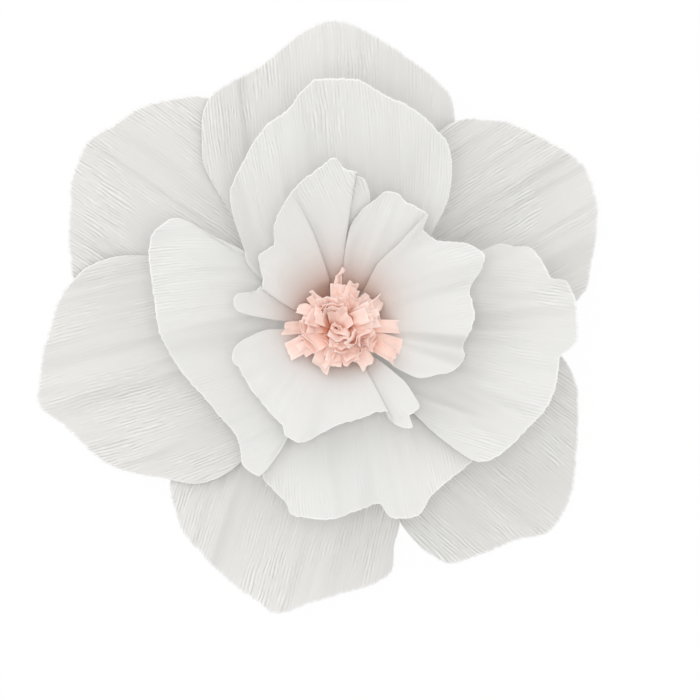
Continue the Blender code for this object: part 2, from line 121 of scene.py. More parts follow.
def crepe_paper(name, crest, groove_shade, warm_shade_and_tint, ridge_mm, break_mm, ridge_height, glow):
    """Crepe paper, crinkled by a machine while wet: matt, with fine broken ridges along the sheet.

    The colours are those of a ridge's crest, of the painted shade in the groove beside it, and of
    paper fully covered by painted warm shade and tint. A ridge is ridge_mm from the next, runs
    for about break_mm before it splits or ends, and is ridge_height high. The paper is thin, and
    lets the share glow of the light through.

    The attribute paper holds a point's place on the flat sheet in metres, across and along it,
    and how much of the crinkle is left where the sheet was stretched. The next attribute holds
    how strongly painted warm shade, with any warm tint of the paper, covers the sheet, and the
    last how strongly a cut edge is painted with a highlight.
    """
    crest_height, groove_depth = 0.8, 1.2  # above and below the flat sheet, in ridge heights
    full_colour = 0.9  # height at which a crest has its full colour, or a groove its full painted shade
    stray = 5.0  # how far a ridge strays to the side, where pi is the way to the next one
    fibre_height = 0.25  # in ridge heights

    material = bpy.data.materials.new(name)
    material.use_nodes = True
    tree = material.node_tree
    tree.nodes.clear()
    paper = add_node(tree, "ShaderNodeAttribute", attribute_name="paper")
    parts = add_node(tree, "ShaderNodeSeparateXYZ", {"Vector": paper.outputs["Vector"]})
    flat = add_node(
        tree, "ShaderNodeCombineXYZ", {"X": parts.outputs["X"], "Y": parts.outputs["Y"], "Z": 0.0}
    )

    # noise over the flat sheet: patches of so many mm across and along it, their detail, and a
    # place of their own in the noise. Real fibres are 0.02 mm wide, too fine to show, so they are
    # drawn coarser.
    noise = {}
    for pattern, across_mm, along_mm, detail, slice_height in (
        ("straying ridges", 4.0 * ridge_mm, 2.0 * break_mm, 1.0, 3.5),
        ("ends of ridges", ridge_mm, break_mm, 2.0, 7.5),
        ("patches pressed flat", 22.0, 40.0, 1.0, 1.5),
        ("fibres", 0.25, 0.7, 2.0, 9.5),
    ):
        place = add_node(
            tree,
            "ShaderNodeMapping",
            {
                "Vector": flat,
                "Scale": (1000 / across_mm, 1000 / along_mm, 1.0),
                "Location": (0.0, 0.0, slice_height),
            },
        )
        noise[pattern] = add_node(
            tree, "ShaderNodeTexNoise", {"Vector": place, "Scale": 1.0, "Detail": detail}
        )

    # evenly spaced broad ridges with a sharp groove between them, which stray, split and end
    turns = add_node(
        tree,
        "ShaderNodeMath",
        {0: parts.outputs["X"], 1: 1000 * math.pi / ridge_mm},
        operation="MULTIPLY",
    )
    phase = add_node(
        tree,
        "ShaderNodeMath",
        {0: noise["straying ridges"], 1: stray, 2: turns},
        operation="MULTIPLY_ADD",
    )
    swing = add_node(tree, "ShaderNodeMath", {0: phase}, operation="SINE")
    hump = add_node(tree, "ShaderNodeMath", {0: swing}, operation="ABSOLUTE")
    ridges = add_node(
        tree,
        "ShaderNodeMath",
        {0: hump, 1: crest_height + groove_depth, 2: -groove_depth},
        operation="MULTIPLY_ADD",
    )
    # a ridge ends where its noise is low, and a pressed patch keeps a little of its ridges
    ridge_share = add_node(
        tree,
        "ShaderNodeMapRange",
        {"Value": noise["ends of ridges"], "From Min": 0.42, "From Max": 0.60},
    )
    patch_share = add_node(
        tree,
        "ShaderNodeMapRange",
        {
            "Value": noise["patches pressed flat"],
            "From Min": 0.40,
            "From Max": 0.60,
            "To Min": 0.12,
            "To Max": 1.1,
        },
    )
    for share in (ridge_share, patch_share, parts.outputs["Z"]):
        ridges = add_node(tree, "ShaderNodeMath", {0: ridges, 1: share}, operation="MULTIPLY")

    # colour: painted shade in the grooves, then painted warm shade and warm tint, then a painted
    # highlight along the cut edges
    lightness = add_node(
        tree,
        "ShaderNodeMapRange",
        {"Value": ridges, "From Min": -full_colour, "From Max": full_colour},
    )
    colour = add_node(
        tree,
        "ShaderNodeMix",
        {0: lightness, 6: linear(groove_shade), 7: linear(crest)},
        data_type="RGBA",
    )
    for attribute_name, attribute_colour in (("warm_shade_and_tint", warm_shade_and_tint), ("edge_highlight", "#FFFFFE")):
        covered = add_node(tree, "ShaderNodeAttribute", attribute_name=attribute_name)
        colour = add_node(
            tree,
            "ShaderNodeMix",
            {0: covered.outputs["Fac"], 6: colour.outputs[2], 7: linear(attribute_colour)},
            data_type="RGBA",
        )

    height = add_node(
        tree,
        "ShaderNodeMath",
        {0: noise["fibres"], 1: fibre_height, 2: ridges},
        operation="MULTIPLY_ADD",
    )
    bump = add_node(
        tree, "ShaderNodeBump", {"Height": height, "Distance": ridge_height, "Strength": 1.0}
    )
    shader = add_node(
        tree,
        "ShaderNodeBsdfPrincipled",
        {
            "Base Color": colour.outputs[2],
            "Roughness": 0.92,
            "Specular IOR Level": 0.25,
            "Normal": bump,
        },
    )
    through = add_node(
        tree, "ShaderNodeBsdfTranslucent", {"Color": colour.outputs[2], "Normal": bump}
    )
    sheet = add_node(tree, "ShaderNodeMixShader", {0: glow, 1: shader, 2: through})
    add_node(tree, "ShaderNodeOutputMaterial", {"Surface": sheet})
    return material


def crepe_mesh(name, sheets, material):
    """One mesh of thin closed sheets: front and back points, paper, painted warm shade with tint, and
    painted edge highlight of each.
    """
    points, faces, cut_faces, paper, warm_shade_and_tint, edge_highlight = [], [], [], [], [], []
    count = 0
    for front, back, sheet_paper, sheet_warm_shade_and_tint, sheet_edge_highlight in sheets:
        rows, columns = front.shape[:2]
        size = rows * columns
        index = np.arange(size).reshape(rows, columns)
        cell_corners = [index[:-1, :-1], index[1:, :-1], index[1:, 1:], index[:-1, 1:]]
        quads = np.stack(cell_corners, axis=-1).reshape(-1, 4)
        border = np.concatenate([index[:, 0], index[-1, 1:], index[-2::-1, -1], index[0, -2:0:-1]])
        after = np.roll(border, -1)
        walls = np.stack([after, border, border + size, after + size], axis=-1)
        faces += [quads + count, quads[:, ::-1] + size + count, walls + count]
        cut_faces += [np.zeros(2 * len(quads), bool), np.ones(len(walls), bool)]
        points += [front.reshape(-1, 3), back.reshape(-1, 3)]
        paper += [sheet_paper.reshape(-1, 3)] * 2
        warm_shade_and_tint += [sheet_warm_shade_and_tint.ravel()] * 2
        edge_highlight += [sheet_edge_highlight.ravel()] * 2
        count += 2 * size
    corners = np.concatenate(faces)
    mesh = bpy.data.meshes.new(name)
    mesh.vertices.add(count)
    mesh.vertices.foreach_set("co", np.concatenate(points).astype(np.float32).ravel())
    mesh.loops.add(corners.size)
    mesh.loops.foreach_set("vertex_index", corners.astype(np.int32).ravel())
    mesh.polygons.add(len(corners))
    mesh.polygons.foreach_set("loop_start", np.arange(0, corners.size, 4, dtype=np.int32))
    mesh.update(calc_edges=True)
    place = mesh.attributes.new("paper", "FLOAT_VECTOR", "POINT")
    place.data.foreach_set("vector", np.concatenate(paper).astype(np.float32).ravel())
    for attribute_name, values in (("warm_shade_and_tint", warm_shade_and_tint), ("edge_highlight", edge_highlight)):
        attribute = mesh.attributes.new(attribute_name, "FLOAT", "POINT")
        attribute.data.foreach_set("value", np.concatenate(values).astype(np.float32))
    mesh.materials.append(material)
    mesh.shade_smooth()
    cut_edge = mesh.attributes.new("sharp_face", "BOOLEAN", "FACE")
    cut_edge.data.foreach_set("value", np.concatenate(cut_faces))
    return mesh


def eased(value, start, end):
    """Rises smoothly from 0 at start to 1 at end."""
    share = np.clip((value - start) / (end - start), 0.0, 1.0)
    return share * share * (3.0 - 2.0 * share)


def soft_noise(rng, rows, columns, row_cells, column_cells):
    """Smooth random values from -1 to 1 on a grid of rows by columns."""
    draws = rng.uniform(-1.0, 1.0, (row_cells + 2, column_cells + 2))
    down = np.linspace(0.0, row_cells, rows)
    across = np.linspace(0.0, column_cells, columns)
    top, left = np.floor(down).astype(int), np.floor(across).astype(int)
    down_share = eased(down - top, 0.0, 1.0)[:, None]
    across_share = eased(across - left, 0.0, 1.0)[None, :]
    upper = draws[top][:, left] * (1 - across_share) + draws[top][:, left + 1] * across_share
    lower = draws[top + 1][:, left] * (1 - across_share) + draws[top + 1][:, left + 1] * across_share
    return upper * (1 - down_share) + lower * down_share


def fringe_tab(foot_radius, foot_angle, heading, lean, length, width, kinks, twist, wave, rng):
    """One cut tab of the strip, as a sheet for crepe_mesh, with all angles in radians.

    It leaves the roll upright, leans over towards its heading, is creased at each kink's share of
    its length by the kink's angle, and twists about its length. The wave that runs along it has
    a depth, a number of waves in the tab's width, and a start.
    """
    along = np.linspace(-TAB_ROOT, length, TAB_ROWS)
    step = along[1] - along[0]
    ahead = Vector((math.cos(heading), math.sin(heading), 0.0))
    tangent, sideways = Vector((0.0, 0.0, 1.0)), Vector((-ahead.y, ahead.x, 0.0))
    foot_x, foot_y = foot_radius * math.cos(foot_angle), foot_radius * math.sin(foot_angle)
    place = Vector((foot_x, foot_y, ROLL_TOP - TAB_ROOT))
    bend_end = TAB_BEND * lean
    curl = rng.uniform(*TAB_CURL)
    spine, widthways, facing = [], [], []
    for distance in along:
        spine.append(place.copy())
        widthways.append(sideways.copy())
        facing.append(tangent.cross(sideways))
        turn = step / TAB_BEND if 0.0 <= distance < bend_end else 0.0
        turn += curl * step if distance > bend_end else 0.0
        turn += sum(angle for share, angle in kinks if distance <= share * length < distance + step)
        tangent = Quaternion(sideways, turn) @ tangent
        if distance > 0.0:
            sideways = Quaternion(tangent, twist * step / length) @ sideways
        place = place + tangent * step
    spine, widthways, facing = (np.array(rail)[:, None, :] for rail in (spine, widthways, facing))

    across = np.linspace(-0.5, 0.5, TAB_COLUMNS)[None, :] * np.ones((TAB_ROWS, 1))
    share = np.clip(along / length, 0.0, 1.0)[:, None]
    out = across * width * (1.0 + TAB_FLARE * share)
    wave_depth, wave_count, wave_start = wave
    depth = wave_depth * np.sin(2 * math.pi * (across * wave_count + wave_start) + 1.2 * share)
    depth += TAB_CRUMPLE * soft_noise(rng, TAB_ROWS, TAB_COLUMNS, 6, 4)
    depth *= eased(share, 0.0, 0.5)
    slant = rng.uniform(-TAB_SLANT, TAB_SLANT)
    uneven = rng.uniform(-TAB_UNEVEN, TAB_UNEVEN, TAB_COLUMNS)[None, :]
    cut = (out * slant + uneven) * (share == 1.0)
    heart = spine + widthways * out[..., None] + facing * depth[..., None]
    heart = heart + np.array(tangent)[None, None, :] * cut[..., None]
    half = facing * STRIP_THICKNESS / 2
    strip_place = rng.uniform(0, 1)
    paper = np.stack(
        [out + strip_place, along[:, None] + 0 * out + strip_place, np.ones_like(out)], axis=-1
    )
    # painted shade: the colour is warmer and deeper towards the foot of the cuts, where the tabs crowd
    # together
    warm_shade_and_tint = (1.0 - eased(share, 0.10, 0.80)) ** 1.3 * np.ones_like(out)
    # a painted highlight along the tab's sides and its cut end
    edge_highlight = np.maximum(np.abs(across) == 0.5, share == 1.0) * TAB_EDGE_HIGHLIGHT
    return heart + half, heart - half, paper, warm_shade_and_tint, edge_highlight


fringe_tabs = []
for number, (heading, count, lean, lean_step, length, width, depth, waves, twist) in enumerate(BUNDLES):
    shared = np.random.default_rng([BUNDLE_SEED, number])
    kinks = [
        (shared.uniform(0.40, 0.60), shared.uniform(-0.7, 0.7)),
        (shared.uniform(0.7, 0.9), shared.uniform(-0.9, 0.9)),
    ]
    wave_start = shared.uniform(0, 1)
    for place in range(count):
        own = np.random.default_rng([BUNDLED_TAB_SEED, number, place])
        tab_lean = lean + lean_step * place
        turn_share = min(BUNDLE_TURNS, abs(tab_lean) / OUTER_TURN_LEAN)
        towards = math.radians(heading) + own.uniform(-0.09, 0.09)
        wave = (depth * own.uniform(0.8, 1.2), waves, wave_start + own.uniform(-0.05, 0.05))
        fringe_tabs.append(
            fringe_tab(
                foot_radius=ROLL_CORE + (ROLL_RADIUS - ROLL_CORE) * turn_share,
                foot_angle=towards + math.pi * (tab_lean < 0),
                heading=towards,
                lean=math.radians(abs(tab_lean)),
                length=length * own.uniform(0.94, 1.06),
                width=width * own.uniform(0.85, 1.05),
                kinks=kinks,
                twist=math.radians(twist) + own.uniform(-0.12, 0.12),
                wave=wave,
                rng=own,
            )
        )
for number, (heading, reach, twist, width) in enumerate(OUTERMOST_TABS):
    own = np.random.default_rng([OUTERMOST_SEED, number])
    lean = math.radians(OUTERMOST_LEAN + own.uniform(-5, 5))
    foot_radius = ROLL_RADIUS - TURN_PITCH
    past_bend = (reach - foot_radius - TAB_BEND * (1 - math.cos(lean))) / math.sin(lean)
    fringe_tabs.append(
        fringe_tab(
            foot_radius=foot_radius,
            foot_angle=math.radians(heading),
            heading=math.radians(heading),
            lean=lean,
            length=TAB_BEND * lean + past_bend,
            width=width,
            kinks=[(0.62, own.uniform(-0.45, 0.45)), (0.86, own.uniform(-0.8, 0.8))],
            twist=math.radians(twist),
            wave=(own.uniform(0.0003, 0.0010), own.uniform(0.7, 1.5), own.uniform(0, 1)),
            rng=own,
        )
    )

# fine crepe, dyed a pale salmon pink: dull and soft, with painted warm shade towards the foot of the
# cuts
pink_crepe = crepe_paper(
    "pink_crepe_paper",
    crest="#FEEFE8",
    groove_shade="#FAE0D4",
    # painted warm shade at the foot of the cuts
    warm_shade_and_tint="#FFB880",
    ridge_mm=0.9,
    break_mm=8.0,
    ridge_height=0.00005,
    glow=0.26,
)


def sized_tree(name, sizes):
    """A geometry node tree with a start shape and these sizes as its inputs, and its input node."""
    tree = bpy.data.node_groups.new(name, "GeometryNodeTree")
    tree.interface.new_socket("Geometry", in_out="INPUT", socket_type="NodeSocketGeometry")
    for size in sizes:
        tree.interface.new_socket(size, in_out="INPUT", socket_type="NodeSocketFloat")
    tree.interface.new_socket("Geometry", in_out="OUTPUT", socket_type="NodeSocketGeometry")
    return tree, add_node(tree, "NodeGroupInput")


def end_tree(tree, geometry, material):
    """Ends a tree in plain geometry of one material."""
    real = add_node(tree, "GeometryNodeRealizeInstances", {"Geometry": geometry})
    painted = add_node(tree, "GeometryNodeSetMaterial", {"Geometry": real, "Material": material})
    add_node(tree, "NodeGroupOutput", {"Geometry": painted})


def made_by_nodes(name, start, tree, sizes):
    """An object at the origin whose plain mesh a node tree makes from a start mesh and the sizes."""
    maker = bpy.data.objects.new(name + "_maker", start)
    bpy.context.scene.collection.objects.link(maker)
    modifier = maker.modifiers.new("nodes", "NODES")
    modifier.node_group = tree
    for item in tree.interface.items_tree:
        if item.in_out == "INPUT" and item.name in sizes:
            modifier[item.identifier] = sizes[item.name]
    depsgraph = bpy.context.evaluated_depsgraph_get()
    mesh = bpy.data.meshes.new_from_object(
        maker.evaluated_get(depsgraph), preserve_all_data_layers=True, depsgraph=depsgraph
    )
    mesh.name = name
    bpy.data.objects.remove(maker)
    piece = bpy.data.objects.new(name, mesh)
    bpy.context.scene.collection.objects.link(piece)
    return piece


# the strip is wound from the core outwards, and its tabs stand on it
roll_sizes = {
    "Roll Radius": ROLL_RADIUS,
    "Core Radius": ROLL_CORE,
    "Turn Pitch": TURN_PITCH,
    "Strip Thickness": STRIP_THICKNESS,
    "Roll Height": ROLL_TOP,
}
roll_tree, given = sized_tree("wound_strip", roll_sizes)
span = add_node(
    roll_tree,
    "ShaderNodeMath",
    {0: given.outputs["Roll Radius"], 1: given.outputs["Core Radius"]},
    operation="SUBTRACT",
)
turns = add_node(
    roll_tree, "ShaderNodeMath", {0: span, 1: given.outputs["Turn Pitch"]}, operation="DIVIDE"
)
spiral = add_node(
    roll_tree,
    "GeometryNodeCurveSpiral",
    {
        "Resolution": 26,
        "Rotations": turns,
        "Start Radius": given.outputs["Core Radius"],
        "End Radius": given.outputs["Roll Radius"],
        "Height": 0.0,
    },
)
level = add_node(roll_tree, "GeometryNodeSetCurveNormal", {"Curve": spiral}, mode="Z_UP")
section = add_node(
    roll_tree,
    "GeometryNodeCurvePrimitiveQuadrilateral",
    {"Width": given.outputs["Strip Thickness"], "Height": given.outputs["Roll Height"]},
)
strip = add_node(
    roll_tree,
    "GeometryNodeCurveToMesh",
    {"Curve": level, "Profile Curve": section, "Fill Caps": True},
)
half_height = add_node(
    roll_tree, "ShaderNodeMath", {0: given.outputs["Roll Height"], 1: 0.5}, operation="MULTIPLY"
)
lift = add_node(roll_tree, "ShaderNodeCombineXYZ", {"Z": half_height})
strip_placed = add_node(roll_tree, "GeometryNodeTransform", {"Geometry": strip, "Translation": lift})
whole = add_node(roll_tree, "GeometryNodeJoinGeometry", {"Geometry": given})
roll_tree.links.new(strip_placed.outputs["Geometry"], whole.inputs["Geometry"])
end_tree(roll_tree, whole, pink_crepe)

cut_tabs = crepe_mesh("cut_tabs", fringe_tabs, pink_crepe)
fringe = made_by_nodes("crepe_fringe_roll", cut_tabs, roll_tree, roll_sizes)
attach(fringe, "root")
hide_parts("center_fringe_roll")


# Inner petals, four small ones with lobed rims.
# Each is one piece of white crepe paper, cut to a rounded top, its foot gathered into narrow
# folds round the roll. The middle is stretched smooth with the thumbs, so the rim stays crinkled.
SHEET = 0.0003  # thickness of a petal
STUB_THREAD = 0.022  # lower edge of the thread
STUB_TOP = 0.0264  # upper edge of the thread
TAIL_HEIGHTS = (0.0, 0.004, 0.009, 0.014, 0.018, 0.0205, STUB_THREAD, 0.0242, STUB_TOP)
TAIL_SPREAD = 0.0015  # how far the first layer's cut tails stand out from the thread
TAIL_SWELL = 0.0007  # how much higher the pressed folds are at the cut end
TAIL_RAGGED = 0.0006  # how unevenly the tails were cut
COLUMN_WIDTH = 0.0011  # distance between points along a rim
BLADE_ROWS = 64  # from the thread to the rim
ROW_INSIDE_RIM = 0.993  # share of the length, so that only the very edge looks frayed
EDGE_GAP = 0.0003  # from the middle of the gap between two feet to either one
FAN_START, FAN_END = 0.014, 0.036  # radii between which a petal fans out to its outline
GRAIN_BEND = 0.050  # within this radius the grain turns from parallel to fanned out
LIFT_END = 0.020  # radius at which an edge that lies over its neighbour is at its full height
GATHER_DEPTH = 0.0006  # half of a gather's depth at the thread
GATHER_SWELL = 0.00035  # how much deeper it is before it opens out
GATHER_FULL, GATHER_END = 0.020, 0.019  # radii of its full depth, and where it has opened out
RIM_TEAR, RIM_FRAY = 0.0009, 0.00035  # depth of the small tears in a rim, and its roughness
TEAR_COLUMNS = 12  # points along a rim from one tear to the next
FOLD_WIDTH = 0.0030  # half of the width that a fold over itself takes up
FOLD_SLOPE = 0.011  # how far beside a fold the sheet still lies higher or lower
FOLD_GROWTH = 0.006  # length over which a fold begins
FOLD_PULL = 2.2  # how far the sheet is drawn over itself, in fold widths
FOLD_STEP = 0.6  # share of the fold width in which the upper part comes down
SWELL_START, SWELL_HEIGHT = 0.030, 0.0010  # radius where slow waves begin, and their height
SWELLS_ROUND, SWELL_SLANT = 11, 45  # how many go round, and their turn in radians per metre
STREAK_START, STREAK_END = 0.016, 0.055  # radii between which the streaks reach their height
STREAK_LENGTH, FINE_STREAK_LENGTH, PINCH_LENGTH = 0.10, 0.06, 0.12
RIPPLE_WIDTH, RIPPLE_LENGTH = 0.003, 0.022
WARM_PATCH_WIDTH, WARM_PATCH_LENGTH = 0.03, 0.05
CURL_START = 0.80  # share of a petal's length from which its rim curls
CURLS = 7  # along one rim
CURL_DROOP = 0.35  # how much more a rim curls down than up
WARM_SHADE_START = 0.012  # radius up to which a petal has the full painted warm shade of the fringe

# heavy crepe, bleached: dull white with shallow grooves, with painted warm shade and pink bounce light
# round the fringe
white_crepe = crepe_paper(
    "white_crepe_paper",
    crest="#FAFAF9",
    groove_shade="#D2D2CF",
    # painted warm shade and pink bounce light round the fringe, also the colour of the warm patches
    warm_shade_and_tint="#D0B0A1",
    ridge_mm=1.75,
    break_mm=9.0,
    ridge_height=0.00012,
    glow=0.20,
)


def uneven_sheet(rng, across, along, across_cell, along_cell):
    """Smooth random values from -1 to 1 over places on a flat sheet, in cells of this size."""
    column = (across - across.min()) / across_cell
    row = (along - along.min()) / along_cell
    draws = rng.uniform(-1.0, 1.0, (int(row.max()) + 2, int(column.max()) + 2))
    top, left = np.floor(row).astype(int), np.floor(column).astype(int)
    down_share = eased(row - top, 0.0, 1.0)
    across_share = eased(column - left, 0.0, 1.0)
    upper = draws[top, left] * (1 - across_share) + draws[top, left + 1] * across_share
    lower = draws[top + 1, left] * (1 - across_share) + draws[top + 1, left + 1] * across_share
    return upper * (1 - down_share) + lower * down_share


def section_table(foot, reach, tip, rise, shoulder_reach, shoulder):
    """Radius, height, tangent and length along a layer's section, from the thread to the tips.

    The section is a curve that leaves the thread almost upright at the radius foot, bends over
    towards the shoulder and ends at reach. Tip, rise and shoulder are heights above the thread.
    """
    share = np.linspace(0.0, 1.0, 400)[:, None]
    rest = 1.0 - share
    controls = np.array(
        [
            (foot, STUB_TOP),
            (foot + 0.0005, STUB_TOP + rise),
            (shoulder_reach, STUB_TOP + shoulder),
            (reach, STUB_TOP + tip),
        ]
    )
    weights = np.hstack([rest**3, 3 * rest**2 * share, 3 * rest * share**2, share**3])
    place = weights @ controls
    slopes = np.hstack([3 * rest**2, 6 * rest * share, 3 * share**2]) @ np.diff(controls, axis=0)
    tangent = slopes / np.linalg.norm(slopes, axis=1, keepdims=True)
    steps = np.linalg.norm(np.diff(place, axis=0), axis=1)
    return place[:, 0], place[:, 1], tangent, np.concatenate([[0.0], np.cumsum(steps)])


def smooth_path(knots, values, places):
    """A curve through the values that doesn't overshoot between its knots."""
    gaps = np.diff(knots)
    slopes = np.diff(values) / gaps
    products, sums = slopes[:-1] * slopes[1:], slopes[:-1] + slopes[1:]
    inner = np.where(products > 0, 2 * products / (sums + 1e-12), 0.0)
    ends = np.concatenate([[slopes[0]], inner, [slopes[-1]]])
    cell = np.clip(np.searchsorted(knots, places) - 1, 0, len(gaps) - 1)
    t = (places - knots[cell]) / gaps[cell]
    before, after = values[cell], values[cell + 1]
    return (
        (2 * t**3 - 3 * t**2 + 1) * before
        + (t**3 - 2 * t**2 + t) * gaps[cell] * ends[cell]
        + (3 * t**2 - 2 * t**3) * after
        + (t**3 - t**2) * gaps[cell] * ends[cell + 1]
    )


def crease_height(creases, angle, radius, reach):
    """Ridges and valleys that neighbouring petals of a layer share where they lie on each other."""
    height = np.zeros_like(angle)
    for centre, half_width, peak in creases:
        away = np.abs((np.degrees(angle) - centre + 180.0) % 360.0 - 180.0) / half_width
        height += peak * np.where(away < 1.0, (1.0 - away * away) ** 2, 0.0)
    return height * eased(radius, FAN_START, reach)


def folded_over(angle, radius, folds):
    """Where a petal is folded over itself: how far each point turns, and how high it lies.

    A fold runs from one radius and angle in degrees to another. Then come its side, 1 or -1, to
    which the upper part of the sheet lies, its height, and the length over which it fades out.
    """
    turned, lifted = np.zeros_like(angle), np.zeros_like(angle)
    for start, start_angle, end, end_angle, side, height, fade in folds:
        along = (radius - start) / (end - start)
        line = math.radians(start_angle) + math.radians(end_angle - start_angle) * along
        away = side * radius * (angle - line)
        present = eased(radius, start, start + FOLD_GROWTH) * (1.0 - eased(radius, end - fade, end))
        t = np.clip(away / FOLD_WIDTH, -1.0, 1.0)
        turned -= side * present * FOLD_PULL * FOLD_WIDTH * t * (1.0 - t * t) ** 2 / radius
        near = np.clip(np.abs(away) / FOLD_SLOPE, 0.0, 1.0)
        step = np.sin(math.pi / 2 * np.clip(t / FOLD_STEP, -1, 1))
        lifted += present * height / 2 * step * (1.0 - near * near) ** 2
    return turned, lifted


def torn_rim(rng, rim, reach):
    """Angle and radius of evenly spaced points along a petal's rim, slightly torn."""
    corner_angle = np.radians([angle for angle, _ in rim])
    corner_radius = np.array([share for _, share in rim]) * reach
    steps = np.hypot(np.diff(corner_radius), np.diff(corner_angle) * corner_radius[1:])
    knots = np.concatenate([[0.0], np.cumsum(steps)])
    columns = int(knots[-1] / COLUMN_WIDTH)
    places = np.linspace(0.0, knots[-1], columns)
    radius = smooth_path(knots, corner_radius, places)
    radius += RIM_TEAR * soft_noise(rng, 2, columns, 1, columns // TEAR_COLUMNS)[0]
    radius += rng.uniform(-RIM_FRAY, RIM_FRAY, columns)
    return smooth_path(knots, corner_angle, places), np.minimum(radius, reach)


def blade_points(section, rim_radius, blade_share):
    """Radius, height, length and face direction of rows of points that end at the rim.

    The rows lie between the curve's own steps, which are short at the thread, and equal lengths.
    """
    table_radius, table_height, table_tangent, table_length = section
    grid = np.linspace(0.0, 1.0, len(table_radius))
    end = np.interp(rim_radius, table_radius, grid)[None, :]
    end_length = np.interp(rim_radius, table_radius, table_length)[None, :]
    by_curve = blade_share * end
    by_length = np.interp(blade_share * end_length, table_length, grid)
    share = 0.45 * by_curve + 0.55 * by_length
    radius = np.interp(share, grid, table_radius)
    height = np.interp(share, grid, table_height)
    length = STUB_TOP + np.interp(share, grid, table_length)
    out = -np.interp(share, grid, table_tangent[:, 1])
    up = np.interp(share, grid, table_tangent[:, 0])
    return radius, height, length, out, up


def streaks(rng, across, along, width):
    """Soft waves, fine waves and pinched ridges along a sheet that was pulled by hand."""
    height = uneven_sheet(rng, across, along, width, STREAK_LENGTH)
    fine = np.abs(uneven_sheet(rng, across, along, width / 2, FINE_STREAK_LENGTH))
    height += 0.3 * (1.0 - 2.0 * fine)
    height -= np.abs(uneven_sheet(rng, across, along, 0.8 * width, PINCH_LENGTH)) - 0.5
    return height


def painted_fringe_shade(layer, angle, radius):
    """How strongly a petal is painted with the fringe's warm shade and pink bounce light, which reach
    further and are stronger at the top of the flower.
    """
    reach = layer["warm_shade_reach"] * (1.0 + 0.35 * np.sin(angle))
    faded = np.exp(-((np.maximum(radius - WARM_SHADE_START, 0.0) / reach) ** 1.5))
    return layer["warm_shade_and_tint"] * (0.95 + 0.20 * np.sin(angle)) * faded


